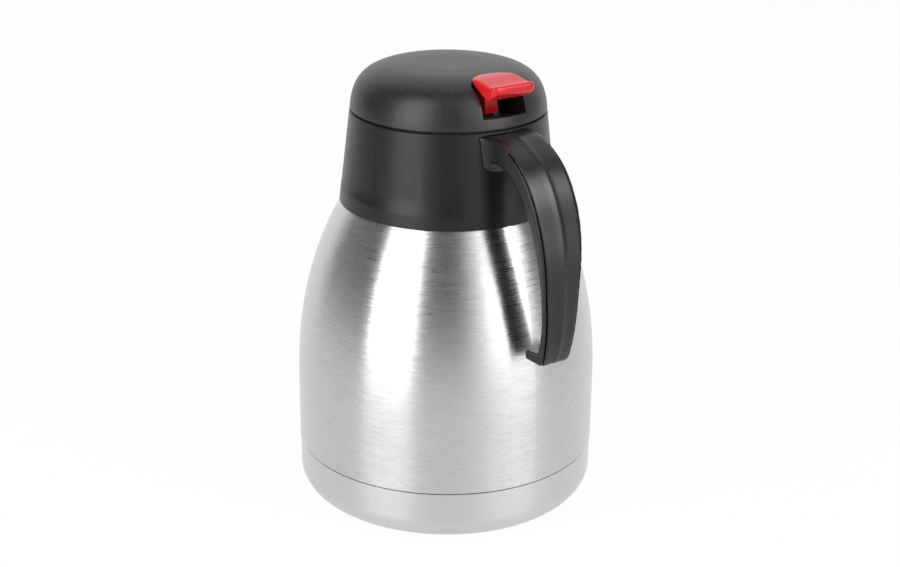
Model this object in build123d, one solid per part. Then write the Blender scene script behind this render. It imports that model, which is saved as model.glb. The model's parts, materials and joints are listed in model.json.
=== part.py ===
from build123d import *
import math
import os

# Vacuum carafe with a screw-in pouring stopper and a thumb lever, in millimetres.
# +Z is up, the origin is the centre of the base, the handle lies along +X and the lip along -X.
# Heights build on each other: body, neck, neck ring, collar, stopper, dome, lever and handle.

# ---- steel body ---------------------------------------------------------------------------
belly_r = 72.4            # straight outer wall of the steel body
seam_z = 26.2             # where the base cup meets the outer shell
belly_top_z = 54.0        # the straight wall ends here and the shoulder starts
shoulder_h = 93.2         # height of the shoulder, up to the collar's lower edge
shoulder_power = 2.4      # how late the shoulder turns in
neck_r = 36.0             # outer radius of the steel neck
shoulder_out = 14.6       # the shoulder under the collar is this much wider than the neck
neck_foot_h = 16.8        # height of the curve from the shoulder to the straight neck
neck_h = 17.0             # straight part of the neck, up to the rolled rim
steel_t = 0.8             # sheet thickness of both vessels
vacuum_gap = 4.5          # space between the vessels at the belly
shoulder_gap = 5.5        # space between the vessels at the shoulder
neck_gap = 1.4            # space between the vessels at the neck
flask_neck_drop = 4.0     # the flask's straight neck starts this much lower
flask_corner = 16.0       # rounded corner round the flask's floor
bead_r = 0.9              # rolled bead on the steel neck that the collar snaps under
bead_drop = 10.0          # that bead, below the top of the shell

# ---- base -----------------------------------------------------------------------------------
base_step = 0.3           # the base cup is this much smaller than the shell
seam_gap = 0.6            # joint between the base cup and the shell
base_fillet = 11.8        # outside radius of the base cup's corner
groove_inset = 19.4       # ring pressed up into the base, in from the belly
groove_w = 7.0            # width of that ring
groove_d = 0.9            # depth of that ring
vacuum_base_z = 5.0       # underside of the welded vacuum base
flask_floor_rise = 8.0    # the inner flask's underside, above the vacuum base
dish_inset = 16.0         # flat middle of the vacuum base, in from its wall
dish_h = 14.0             # height of its sloping part
weld_h = 8.0              # height of its welded lip above the seam
weld_gap = 0.1            # the welded lip lies this close to the shell
getter_r = 5.0
getter_t = 2.5
getter_x = 24.0           # place of the getter on the vacuum base
vent_r = 1.5              # hole through which the air is drawn out
solder_r = 3.2            # bead of solder over that hole
solder_t = 1.2

# ---- neck ring and rim gasket -----------------------------------------------------------------
rim_gasket_t = 1.2        # seal between the steel rim and the neck ring
ring_wall = 2.1           # neck ring wall
ring_flange_t = 2.0       # neck ring flange that rests on the rim gasket
ring_flange_out = 1.5     # that flange reaches this far past the steel neck
ring_depth = 26.0         # how far the neck ring reaches down from the top of the shell
ledge_in = 4.3            # how far the sealing ledge reaches inwards from the ring's bore
ledge_t = 2.2             # thickness of that ledge

# ---- collar -----------------------------------------------------------------------------------
collar_over = 0.85        # the collar's lower edge stands out of the steel by this much
collar_reach = 10.7       # the collar's upper edge, out from the steel neck
collar_t = 2.4            # collar wall
collar_rise = 3.4         # the collar stands this far above its deck
collar_chamfer = 0.5      # eased outer edge along its top
band_h = 8.0              # plain band along the collar's lower edge
band_step = 0.25          # how far the band stands proud
deck_t = 2.2              # ring-shaped deck inside the collar
skirt_t = 2.0             # inner skirt that snaps under the steel bead
skirt_gap = 0.35          # space between that skirt and the bead
lip_w = 20.0              # width of the pouring lip
lip_out = 5.0             # how far the lip stands out of the collar
lip_h = 5.5               # depth of the lip's channel
lip_wall = 2.0            # wall to each side of the channel

# ---- stopper ----------------------------------------------------------------------------------
fit = 0.3                 # gap between pieces that move past each other
snug = 0.15               # gap between pieces of one body that lie inside each other
pin_fit = 0.05            # radial play of a shaft in its hole

thread_lead = 27.0        # rise of the lid in one whole turn
thread_starts = 3
thread_h = 3.0            # height of one thread rib
thread_depth = 1.8        # how far a rib stands out of its wall
thread_up = 5.8           # lowest point of the stopper's ribs above its step
thread_play = 0.4         # height between a rib of the stopper and the ring's rib over it
stopper_rib_deg = 30.0    # length of a stopper rib along the helix
ring_rib_deg = 45.0       # length of a neck ring rib along the helix

gasket_space = 3.0        # height between the neck ring's ledge and the stopper's step
stub_h = 12.4             # slim lower end of the stopper, below the step
stub_gap = 1.4            # space between that end and the ledge round it
stopper_wall = 1.8
stopper_deck_t = 2.4      # the stopper's deck, the floor of the lever well
deck_rise = 2.0           # top of that deck above the collar
deck_gap = 0.6            # space between that deck and the walls round it
chamber_r = 11.0          # bore of the valve chamber
chamber_wall = 1.6
port_r = 6.0              # bore of the port at the bottom of the stopper
port_wall = 1.2           # raised ring round the port that the seal closes on
port_lip = 0.8            # height of that ring
base_plate_t = 2.2        # plate that closes the stopper from below
duct_w = 10.0             # width of the pouring duct inside the stopper
duct_h = 6.0              # height of the pouring duct
duct_drop = 12.7          # floor of the duct below the deck
duct_wall = 1.6
gland_r = 6.5             # boss under the deck that guides the stem
gland_h = 5.0
oring_w = 1.9
washer_t = 0.8

# ---- dome -------------------------------------------------------------------------------------
lid_gap = 1.2             # visible gap between the collar and the dome
dome_in = 0.2             # the dome's rim is this much smaller than the collar
dome_h = 21.1             # height of the dome above its rim
dome_low = 18.1           # the rounded profile starts this far below the rim
dome_power = 4.42         # how square the dome's shoulder is
dome_t = 2.2              # dome wall
slot_sill_h = 3.8         # lower edge of the slot above the deck
well_wall = 1.8           # walls beside the lever, under the dome
lid_screw_r = 1.3
lid_screw_len = 8.0
lid_screw_head_r = 2.3
lid_screw_head_t = 1.4
lid_screw_inset = 5.9     # screw circle, in from the deck's edge
lid_screw_deg = (75, 180, 285)
post_r = 3.2              # dome posts that the screws go into

# ---- thumb lever ------------------------------------------------------------------------------
lever_half_w = 11.4       # half the width of the thumb lever
lever_play = 0.45         # side gap between the lever and the dome
lever_out = 5.2           # the lever's nose stands this far out of the dome's rim
lever_len = 23.4          # length of its head
lever_round = 5.7         # depth of the head's rounded back
lever_back_round = 5.0    # rounding of the corners beside that back
lever_nose_round = 2.8    # rounding of the upright corners beside the nose
lever_rise = 0.2          # the head's top above the dome
lever_t = 2.7             # thickness of the head
crease_in = 4.4           # where the lip turns up, in from the nose
crease_drop = 1.4
lip_in = 2.2              # top of the lip
lip_drop = 0.5
nose_drop = 2.5           # foremost point of the nose
brow_in = 3.0             # where the nose turns in to the chin
brow_drop = 6.3
chin_in = 5.8             # lowest point of the head
chin_drop = 7.8
web_half_w = 3.5          # half the thickness of the lever's middle web
web_in = 5.2              # front of the web, from the head's back end
web_foot_h = 2.9          # foot of the web above the deck
pivot_back = 4.3          # the pin lies this far behind the head
pivot_h = 5.9             # height of the pin above the deck
pivot_r = 1.5             # pin radius
boss_r = 4.0              # lever boss round the pin
boss_half_w = 5.0
ear_t = 3.0               # thickness of the two ears that hold the pin
ear_half_len = 3.2        # half the length of an ear beside the pin
nose_r = 2.5              # rounded end of the lever's arm, which lifts the nut
fork_half_w = 6.0

# ---- valve ------------------------------------------------------------------------------------
stem_r = 2.0
nut_r = 5.0               # nut on top of the valve stem
nut_h = 2.6
nut_cap = 0.5             # closed top of the nut
button_r = 4.0            # button at the stem's lower end
button_h = 1.2
plug_r = 9.0
plug_t = 2.2
plug_hub_h = 4.0
plug_hub_wall = 1.8
valve_seal_r = 8.6
valve_seal_t = 1.9
spring_wire = 0.9
spring_mean_r = 5.0
spring_turns = 6.5
spring_seat = 0.1         # gap at each end of the spring

# ---- handle -----------------------------------------------------------------------------------
handle_out = 17.6         # outermost point of the handle, out from the belly
handle_h = 99.1           # height of the handle, from its foot to the collar's top
reach_share = 0.3885      # height of the outermost point as a share of that
arch_power = 2.15         # fullness of the handle's outer arch
arch_in = 1.3             # the arch starts this far inside the collar's top
root_in = 3.6             # the root reaches this far inside the collar's top
top_ease = 0.2            # the handle's top lies this far below the collar's
foot_in = 4.8             # outer end of the foot's underside, in from the outermost point
low_in = 2.0              # outside of the handle just above the foot
low_h = 7.0
root_h = 18.2             # height of the root where it meets the collar
grip_depth = 5.7          # the finger space ends this far in from the outermost point
inner_rise = 4.0          # top of the finger space above the root's lower edge
inner_start = 5.4         # the finger space's highest point, out from the collar
inner_low_h = 23.5        # the grip's thinnest place above the foot
inner_power = 2.1         # fullness of the inner arch
toe_gap = 3.6             # space between the toe and the steel body
toe_rise = 4.2            # height of the toe's tip
toe_top_h = 5.7           # top of the toe where it meets the grip
toe_bend = 2.9            # how far the grip leans in towards the toe
root_half_w = 14.4        # half width where the root meets the collar
root_corner_h = 5.0       # height of the rounding of the root's lower corners
flare_in = 1.5            # the root's flare starts this far inside the collar's top
flare_len = 13.0          # and ends this far out from it
top_half_w = 12.5         # half width of the strap near the collar
mid_half_w = 10.4         # half width at mid height
low_half_w = 8.0          # half width at the foot
low_share = 0.187         # heights of the widths above the foot, as shares of the handle's height
mid_share = 0.43
upper_share = 0.55
top_share = 0.79
ridge_half_w = 3.2        # the ridge along the middle of the strap
ridge_h = 0.4             # how far the ridge stands above the strap's flat
flat_half_w = 10.5        # the flat beside it ends here and turns down
edge_half_w = 15.2        # widest section of the strap's form
edge_drop = 1.8           # how far its surface has turned down there
palm_round = 2.1          # rounding of the inside, at the edge of the flat
palm_edge = 2.9           # and at the widest section
rim_w = 1.1               # rim of the handle body beside the cover
rim_drop = 0.6            # the cover stands this far out of that rim
cover_gap = 0.3           # groove between that rim and the cover
cover_end_gap = 0.1       # joint at the cover's upper end
cover_t = 2.4             # cover thickness under the flat
cover_ledge = 1.6         # ledge in the handle body that the cover lies on
cover_start = 14.8        # the cover starts this far out from the collar
hollow_start = 5.6        # the space under the cover starts this much further out
hollow_foot_h = 52.0      # and ends this far above the foot
handle_wall = 3.0         # wall between that space and the finger space
screw_r = 1.5
screw_head_r = 2.9
screw_head_t = 1.8
screw_len = 11.0
screw_drop = 4.5          # the two handle screws, below the collar's deck
screw_y = 7.5             # each lies this far to the side of the handle's middle
screw_seat = 0.7          # depth of their flat seats in the collar wall
cross_half_len = 2.0      # cross recess in the handle screws' heads
cross_half_w = 0.4
cross_d = 0.7

# ---- sizes that follow from the ones above ----------------------------------------------------
shoulder_r = neck_r + shoulder_out
shoulder_z = belly_top_z + shoulder_h
neck_start_z = shoulder_z + neck_foot_h
rim_z = neck_start_z + neck_h
rim_top_z = rim_z + steel_t
bead_z = rim_z - bead_drop
flask_r = belly_r - steel_t - vacuum_gap
flask_floor_z = vacuum_base_z + flask_floor_rise
flask_neck_r = neck_r - steel_t - neck_gap
flask_bore_r = flask_neck_r - steel_t

flange_z = rim_top_z + rim_gasket_t
flange_top_z = flange_z + ring_flange_t
ring_out_r = flask_bore_r - fit
ring_bore_r = ring_out_r - ring_wall
ring_bottom_z = rim_z - ring_depth
ledge_r = ring_bore_r - ledge_in
ledge_top_z = ring_bottom_z + ledge_t

collar_top_z = flange_top_z + deck_t + collar_rise
collar_bottom_r = shoulder_r + collar_over
collar_top_r = neck_r + collar_reach
collar_bore_r = collar_top_r - collar_t
skirt_in_r = neck_r + bead_r + skirt_gap
skirt_out_r = skirt_in_r + skirt_t

stopper_r = ring_bore_r - thread_depth - fit - 0.2
stopper_step_z = ledge_top_z + gasket_space
stub_r = ledge_r - stub_gap
thread_z = stopper_step_z + thread_up
lead_per_deg = thread_lead / 360
deck_top_z = collar_top_z + deck_rise
deck_z = deck_top_z - stopper_deck_t
duct_z = deck_z - duct_drop
chamber_wall_r = chamber_r + chamber_wall
stopper_bottom_z = stopper_step_z - stub_h
base_plate_top_z = stopper_bottom_z + base_plate_t
gland_z = deck_z - gland_h
washer_z = gland_z - washer_t

dome_r = collar_top_r - dome_in
dome_rim_z = collar_top_z + lid_gap
dome_top_z = dome_rim_z + dome_h
slot_sill_z = deck_top_z + slot_sill_h
deck_r = min(collar_bore_r, dome_r - dome_t) - deck_gap
lid_screw_circle = deck_r - lid_screw_inset

lever_top_z = dome_top_z + lever_rise
lever_front_x = dome_r + lever_out
lever_back_x = lever_front_x - lever_len
lever_corner_x = lever_back_x + lever_round
pivot_x = lever_back_x - pivot_back
pivot_z = deck_top_z + pivot_h

valve_seal_z = base_plate_top_z + port_lip + fit
plug_z = valve_seal_z + valve_seal_t
plug_top_z = plug_z + plug_t + plug_hub_h
nut_z = pivot_z + nose_r + fit

handle_reach = belly_r + handle_out
handle_foot_z = collar_top_z - handle_h
handle_reach_z = handle_foot_z + reach_share * handle_h
inner_x = handle_reach - grip_depth
inner_z = handle_foot_z + inner_low_h
root_bottom_z = collar_top_z - root_h
toe_top_z = handle_foot_z + toe_top_h
arch_x = collar_top_r - arch_in
root_x = collar_top_r - root_in
screw_z = flange_top_z - screw_drop
beyond = 2 * belly_r      # long enough for a cut to pass right through


# ---- helpers ----------------------------------------------------------------------------------
def turned(points):
    """Solid turned round Z from a closed outline of (radius, height) points."""
    return revolve(Plane.XZ * make_face(Polyline(*points, close=True)), Axis.Z)


def spun(lines):
    """Solid turned round Z from the lines and curves of a closed outline."""
    return revolve(Plane.XZ * make_face(lines), Axis.Z)


def tube(r_in, r_out, z0, z1):
    """Plain ring between two heights."""
    return turned([(r_in, z0), (r_out, z0), (r_out, z1), (r_in, z1)])


def rod(r, z0, z1, x=0.0, y=0.0):
    """Upright cylinder."""
    return Pos(x, y, (z0 + z1) / 2) * Cylinder(r, z1 - z0)


def block(x0, x1, y0, y1, z0, z1):
    """Box between two corners."""
    return Pos((x0 + x1) / 2, (y0 + y1) / 2, (z0 + z1) / 2) * Box(x1 - x0, y1 - y0, z1 - z0)


def cross_rod(r, x, z, half):
    """Cylinder along Y, centred on the handle's plane."""
    return Pos(x, 0, z) * Rot(90, 0, 0) * Cylinder(r, 2 * half)


def along_x(r, x0, x1, y, z):
    """Cylinder along X."""
    return Pos((x0 + x1) / 2, y, z) * Rot(0, 90, 0) * Cylinder(r, x1 - x0)


def slab(face, half):
    """An outline in the XZ plane given thickness both ways along Y."""
    return extrude(Plane.XZ * face, half, both=True)


def round_places(circle_r, degrees):
    """Points (x, y) on a circle at the given angles."""
    angles = [math.radians(a) for a in degrees]
    return [(circle_r * math.cos(a), circle_r * math.sin(a)) for a in angles]


def save(name, shape):
    """Write one node's solids to its STEP file."""
    solids = shape if isinstance(shape, list) else list(shape.solids())
    whole = solids[0] if len(solids) == 1 else Compound(children=solids)
    export_step(whole, f"parts/{name}.step")


# ---- steel vessels ----------------------------------------------------------------------------
def shoulder_radius(r0, r1, z1, z):
    """Radius at a height on a shoulder that turns from r0 at the straight wall in to r1 at z1."""
    share = max(z - belly_top_z, 0) / (z1 - belly_top_z)
    return r0 - (r0 - r1) * share ** shoulder_power


def vessel_wall(r0, r1, rn, z_low, z1, zn):
    """Wall line from the lower edge, up the belly and shoulder, to the foot of the neck."""
    heights = [belly_top_z + (z1 - belly_top_z) * k / 6 for k in range(7)]
    points = [(shoulder_radius(r0, r1, z1, z), z) for z in heights]
    slope = -(r0 - r1) * shoulder_power / (z1 - belly_top_z)
    return [
        Line((r0, z_low), (r0, belly_top_z)),
        Spline(*points, tangents=[(0, 1), (slope, 1)]),
        Spline((r1, z1), (rn, zn), tangents=[(slope, 1), (0, 1)])]


def outer_shell():
    inner_r = belly_r - steel_t
    inner_neck = neck_r - steel_t
    inner_start_z = neck_start_z - steel_t
    bead = [(neck_r, bead_z - bead_r), (neck_r + bead_r, bead_z), (neck_r, bead_z + bead_r)]
    outside = vessel_wall(belly_r, shoulder_r, neck_r, seam_z, shoulder_z, neck_start_z)
    inner_turn_z = shoulder_z - steel_t
    inside = vessel_wall(inner_r, shoulder_r - steel_t, inner_neck, seam_z, inner_turn_z, inner_start_z)
    return spun(outside + inside + [
        Polyline((neck_r, neck_start_z), *bead, (neck_r, rim_z)),
        Line((inner_neck, inner_start_z), (inner_neck, rim_z)),
        Line((inner_r, seam_z), (belly_r, seam_z)),
        Line((inner_neck, rim_z), (neck_r, rim_z))])


def flask_line(inset):
    """Flask wall line and the height where its neck starts; inset 0 is the outside, steel_t the inside."""
    floor_z = flask_floor_z + inset
    radius = flask_r - inset
    corner = flask_corner - inset
    start_z = neck_start_z - flask_neck_drop - inset
    turn_z = shoulder_z - flask_neck_drop / 2 - inset
    top_r = shoulder_r - steel_t - shoulder_gap - inset
    floor = Line((0, floor_z), (radius - corner, floor_z))
    bend = RadiusArc((radius - corner, floor_z), (radius, floor_z + corner), -corner)
    wall = vessel_wall(radius, top_r, flask_neck_r - inset, floor_z + corner, turn_z, start_z)
    return [floor, bend] + wall, start_z


def inner_flask():
    """Inner vessel, whose rim is rolled out over the outer shell's."""
    outside, outside_z = flask_line(0)
    inside, inside_z = flask_line(steel_t)
    rim = Polyline((flask_neck_r, outside_z), (flask_neck_r, rim_z), (neck_r, rim_z), (neck_r, rim_top_z),
                   (flask_bore_r, rim_top_z), (flask_bore_r, inside_z))
    return spun(outside + inside + [rim, Line((0, flask_floor_z), (0, flask_floor_z + steel_t))])


def base_cup():
    """Drawn cup that covers the vacuum base, with a ring pressed into its underside."""
    r = belly_r - base_step
    top = seam_z - seam_gap
    t, d, f = steel_t, groove_d, base_fillet
    out_r = belly_r - groove_inset
    in_r = out_r - groove_w
    under = Polyline((0, 0), (in_r, 0), (in_r + d, d), (out_r - d, d), (out_r, 0), (r - f, 0))
    over = Polyline((0, t), (in_r - t / 2, t), (in_r + d, d + t),
                    (out_r - d, d + t), (out_r + t / 2, t), (r - f, t))
    outer_bend = RadiusArc((r - f, 0), (r, f), -f)
    inner_bend = RadiusArc((r - f, t), (r - t, f), t - f)
    wall = Polyline((r, f), (r, top), (r - t, top), (r - t, f))
    return spun([under, outer_bend, wall, inner_bend, over, Line((0, 0), (0, t))])


def vacuum_base():
    """Dished plate with a flared lip, welded inside the outer shell."""
    wall_r = belly_r - steel_t
    outside = wall_r - weld_gap
    inside = outside - steel_t
    side = wall_r - base_step - steel_t - weld_gap
    low, top = vacuum_base_z, seam_z + weld_h
    knee, flare = low + dish_h, seam_z + base_step
    flat_r = wall_r - dish_inset
    cup = turned([
        (0, low), (flat_r, low), (side, knee), (side, flare), (outside, flare + 1), (outside, top),
        (inside, top), (inside, flare + 1.4), (side - steel_t, flare + 0.4), (side - steel_t, knee + 0.3),
        (flat_r - 0.4, low + steel_t), (0, low + steel_t)])
    return cup - rod(vent_r, low - 1, low + steel_t + 1)


def getter():
    floor_z = vacuum_base_z + steel_t
    return rod(getter_r, floor_z, floor_z + getter_t, x=getter_x)


def seal_bead():
    plug = rod(vent_r - pin_fit, vacuum_base_z - solder_t / 2, vacuum_base_z + steel_t)
    return plug + rod(solder_r, vacuum_base_z - solder_t, vacuum_base_z)


# ---- collar and neck --------------------------------------------------------------------------
def collar_radius(z):
    """Outer radius of the collar at a height."""
    share = (z - shoulder_z) / (collar_top_z - shoulder_z)
    return collar_bottom_r + (collar_top_r - collar_bottom_r) * share


def screw_seats():
    """Flat seats of the handle screws inside the collar wall, as (x, y)."""
    wall_r = collar_radius(screw_z) - collar_t
    seat_x = math.sqrt(wall_r ** 2 - screw_y ** 2) + screw_seat
    return [(seat_x, screw_y), (seat_x, -screw_y)]


def collar_ring():
    """The collar without its lip: cone, deck, and the skirt that hooks under the steel bead."""
    band_z = shoulder_z + band_h
    band_r = collar_radius(band_z)
    groove_r = neck_r + ring_flange_out + snug + 0.25
    hook_z = bead_z - bead_r - fit
    hook_r = neck_r + fit
    edge_r = collar_top_r - 0.3
    under_deck_z = flange_top_z - 0.4
    deck_top = flange_top_z + deck_t
    return turned([
        (shoulder_r + 0.25, shoulder_z), (collar_bottom_r, shoulder_z),
        (band_r, band_z), (band_r - band_step, band_z + 0.6),
        (edge_r, collar_top_z - collar_chamfer), (edge_r - collar_chamfer, collar_top_z),
        (collar_bore_r, collar_top_z), (collar_bore_r, deck_top), (neck_r - 1, deck_top),
        (neck_r - 1, flange_top_z), (groove_r, flange_top_z), (groove_r, flange_z), (skirt_in_r, flange_z),
        (skirt_in_r, hook_z), (hook_r, hook_z - 0.6), (hook_r, hook_z - 1.6), (skirt_in_r, hook_z - 3),
        (skirt_out_r, hook_z - 3), (skirt_out_r, under_deck_z),
        (collar_radius(under_deck_z) - collar_t, under_deck_z), (band_r - collar_t, band_z)])


def lip_section(half, out, z):
    """Rounded tongue of the pouring lip, seen from above."""
    back_x = 8 - collar_top_r
    base_x = -math.sqrt(collar_top_r ** 2 - half ** 2)
    tip = (-collar_top_r - out, 0)
    lean = 0.4 * out / lip_out
    side = Spline((base_x, half), tip, tangents=[(-1, -lean), (0, -1)])
    other = Spline(tip, (base_x, -half), tangents=[(0, -1), (1, -lean)])
    back = Polyline((base_x, -half), (back_x, -half), (back_x, half), (base_x, half))
    return (Pos(0, 0, z) * make_face([side, other, back])).face()


def lip_solid(half, out, z0, z1):
    """Tongue that grows out of the collar between two heights."""
    return loft([lip_section(half, 0.2, z0), lip_section(half, out, z1)], ruled=True)


def collar():
    half = lip_w / 2
    low_z = collar_top_z - 2 * lip_h
    deck_top = flange_top_z + deck_t
    lip = lip_solid(half + lip_wall, lip_out, low_z, collar_top_z) - rod(collar_bore_r, 0, collar_top_z + 1)
    trough = lip_solid(half, lip_out - 1.6, low_z + 3, collar_top_z)
    trough -= block(-beyond, 0, -lip_w, lip_w, low_z, deck_top)
    trough += extrude(lip_section(half, lip_out - 1.6, collar_top_z), 1)
    body = collar_ring() + lip - trough
    for seat_x, y in screw_seats():
        body -= along_x(screw_r + pin_fit, seat_x - 4, seat_x + 8, y, screw_z)
        body -= along_x(screw_head_r + fit, seat_x - 5, seat_x, y, screw_z)
    return body


def rim_gasket():
    return tube(flask_bore_r, neck_r, rim_top_z, flange_z)


def thread_rib(r_in, r_out, z0, start_deg, long_deg):
    """Helical rib: a ring sector that turns as it rises."""
    sector_deg = thread_h / lead_per_deg
    a0 = math.radians(start_deg)
    a1 = math.radians(start_deg + sector_deg)
    middle = (a0 + a1) / 2

    def at(r, a):
        return (r * math.cos(a), r * math.sin(a), z0)

    edge = [
        ThreePointArc(at(r_in, a0), at(r_in, middle), at(r_in, a1)), Line(at(r_in, a1), at(r_out, a1)),
        ThreePointArc(at(r_out, a1), at(r_out, middle), at(r_out, a0)), Line(at(r_out, a0), at(r_in, a0))]
    rise = (0, 0, long_deg * lead_per_deg)
    return Solid.extrude_linear_with_rotation(make_face(edge).face(), (0, 0, z0), rise, long_deg)


def thread_starts_deg():
    return [360 / thread_starts * k for k in range(thread_starts)]


def neck_ring():
    """Threaded ring in the neck, with a flange on the rim gasket and a ledge that the stopper seals on."""
    flange_r = neck_r + ring_flange_out
    body = turned([
        (ledge_r, ring_bottom_z), (ring_out_r, ring_bottom_z), (ring_out_r, flange_z),
        (flange_r, flange_z), (flange_r, flange_top_z), (ring_bore_r, flange_top_z),
        (ring_bore_r, ledge_top_z), (ledge_r, ledge_top_z)])
    rib_z = thread_z + thread_h + thread_play
    for start in thread_starts_deg():
        body += thread_rib(ring_bore_r - thread_depth, ring_bore_r + 0.6, rib_z, start, ring_rib_deg)
    return body


# ---- handle -----------------------------------------------------------------------------------
def superarc(x0, z0, a, b, power, count=7):
    """Points of a quarter of a superellipse, from its side to its top."""
    angles = [math.radians(90 * k / (count - 1)) for k in range(count)]
    share = 2 / power
    return [(x0 + a * max(math.cos(t), 0) ** share, z0 + b * math.sin(t) ** share) for t in angles]


def outer_arch(side, top):
    """Outer line of the handle, moved in by one amount at its side and another at its top."""
    top_z = collar_top_z - top_ease - top
    return superarc(arch_x, handle_reach_z, handle_reach - side - arch_x, top_z - handle_reach_z, arch_power)


def inner_arch(inset):
    """Line round the finger space, moved out into the handle by the inset."""
    top_x = collar_top_r + inner_start
    top_z = root_bottom_z + inner_rise
    return superarc(top_x, inner_z, inner_x + inset - top_x, top_z + inset - inner_z, inner_power)


def toe_x(z):
    """The toe's end at a height, a fixed gap from the steel body."""
    return shoulder_radius(belly_r, shoulder_r, shoulder_z, z) + toe_gap


def handle_outline(side, top, palm):
    """Side view of the handle, with its outer line and its palm side moved in."""
    arch = outer_arch(side, top)
    inner = inner_arch(palm)
    root = (collar_radius(root_bottom_z), root_bottom_z)
    low = (handle_reach - low_in - side, handle_foot_z + low_h)
    foot = (handle_reach - foot_in - side / 2, handle_foot_z)
    tip_x = toe_x(handle_foot_z)
    toe = (inner_x + palm - toe_bend, toe_top_z)
    return make_face([
        Spline(foot, low, arch[0], tangents=[(0.55, 1), (0, 1)]),
        Spline(*arch, tangents=[(0, 1), (-1, 0)]),
        Polyline(foot, (tip_x, handle_foot_z), (tip_x, handle_foot_z + toe_rise), toe),
        Spline(toe, inner[0], tangents=[(0.3, 1), (0, 1)]),
        Spline(*inner, tangents=[(0, 1), (-1, 0)]),
        Spline(inner[-1], root, tangents=[(-1, 0), (-0.3, -1)]),
        Polyline(root, (root_x, root_bottom_z), (root_x, arch[-1][1]), arch[-1])])


def strap_prism(inset):
    """Front view of the strap, half widths by height, carried through the whole handle."""
    profile = [
        (low_half_w, 0), (low_half_w + 1, low_share), (mid_half_w, mid_share),
        (mid_half_w + 0.85, upper_share), (top_half_w - 0.2, top_share), (top_half_w, 1)]
    right = [(w - inset, handle_foot_z + share * handle_h) for w, share in profile]
    left = [(-w, z) for w, z in right]
    outline = [Spline(*right), Spline(*left), Line(left[0], right[0]), Line(left[-1], right[-1])]
    return extrude(Plane.YZ * make_face(outline), beyond)


def root_prism():
    """Plan view of the root, which flares where it meets the collar."""
    start = (collar_top_r - flare_in, root_half_w)
    end = (collar_top_r + flare_len, top_half_w - 0.2)
    side = Spline(start, end, tangents=[(1, -0.6), (1, -0.02)])
    other = Spline((start[0], -start[1]), (end[0], -end[1]), tangents=[(1, 0.6), (1, 0.02)])
    back_x = root_x - 1
    back = Polyline(start, (back_x, start[1]), (back_x, -start[1]), (start[0], -start[1]))
    front = Line(end, (end[0], -end[1]))
    return extrude(Pos(0, 0, root_bottom_z - 1) * make_face([side, other, back, front]), root_h + 10)


def root_corners():
    """What is cut away round the lower corners of the root, seen from the front."""
    w, h, z = root_half_w, root_corner_h, root_bottom_z
    rises = [(0.47, 0.1), (0.73, 0.26), (0.93, 0.54), (1.01, 1)]
    right = [(across * w, z + up * h) for across, up in rises]
    left = [(-y, height) for y, height in reversed(right)]
    edge = Spline(*left, (0, z), *right, tangents=[(0.1, -1), (0.1, 1)])
    around = Polyline(right[-1], (2 * w, z + h), (2 * w, z - h), (-2 * w, z - h), (-2 * w, z + h), left[0])
    return extrude(Plane.YZ * make_face([edge, around]), root_x + 10)


def handle_blank():
    """Outer form of the whole handle, through sections from its ridge out to its edges."""
    sections = [
        (0, 0, 0), (ridge_half_w, ridge_h, 0.2),
        (flat_half_w, ridge_h + 0.1, palm_round), (edge_half_w, edge_drop, palm_edge)]
    faces = [(y, (Plane.XZ * handle_outline(drop, drop, palm)).face()) for y, drop, palm in sections]
    form = Part()
    for (y0, face0), (y1, face1) in zip(faces, faces[1:]):
        for side in (1, -1):
            form += loft([Pos(0, side * y0, 0) * face0, Pos(0, side * y1, 0) * face1], ruled=True)
    return form


def root_zone(length):
    """Stretch of the handle beside the collar, left whole for this length."""
    half = 2 * root_half_w
    return block(0, collar_top_r + length, -half, half, root_bottom_z - root_h, collar_top_z + 10)


def outer_layer(side, top, start):
    """Layer of the handle outside a line that lies this deep at its side and its top."""
    return handle_blank() - slab(handle_outline(side, top, 0), 2 * root_half_w) - root_zone(start)


def cover_zone(inset, start):
    """Outer layer of the strap, which the cover fills."""
    depth = ridge_h + cover_t
    return outer_layer(depth, depth, start) & strap_prism(inset)


def grip_hollow():
    """Space inside the upper handle body, under the cover."""
    depth = ridge_h + cover_t - 0.5
    arch = outer_arch(depth, depth)
    inner = inner_arch(handle_wall)
    low_z = handle_foot_z + hollow_foot_h
    outline = make_face([
        Polyline(inner[0], arch[0]),
        Spline(*arch, tangents=[(0, 1), (-1, 0)]), Line(arch[-1], inner[-1]),
        Spline(*inner, tangents=[(0, 1), (-1, 0)])])
    hollow = slab(outline, 2 * root_half_w) & strap_prism(rim_w + cover_gap + cover_ledge)
    return hollow - root_zone(cover_start + hollow_start) - block(0, beyond, -beyond, beyond, 0, low_z)


def handle_body():
    """Handle with its root, rims and foot, cut to lie on the collar and clear of the steel."""
    form = handle_blank() & (strap_prism(0) + root_prism())
    form = form - outer_layer(ridge_h + rim_drop, ridge_h, cover_start)
    form = form - cover_zone(rim_w, cover_start) - grip_hollow() - root_corners()
    low_z = handle_foot_z - 10
    toe_space = turned([
        (0, low_z), (toe_x(low_z), low_z), (toe_x(handle_foot_z), handle_foot_z),
        (toe_x(toe_top_z), toe_top_z), (0, toe_top_z)])
    cone_z = root_bottom_z - root_h
    cone = turned([
        (0, cone_z), (collar_radius(cone_z) + snug, cone_z),
        (collar_top_r + snug, collar_top_z), (0, collar_top_z)])
    pilot_len = screw_len + 0.5
    pilots = [along_x(screw_r + pin_fit, x - 1, x + pilot_len, y, screw_z) for x, y in screw_seats()]
    return form - toe_space - cone - pilots


def handle_cover():
    """Strip that closes the strap from outside and carries its ridge."""
    return cover_zone(rim_w + cover_gap, cover_start + cover_end_gap)


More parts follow.
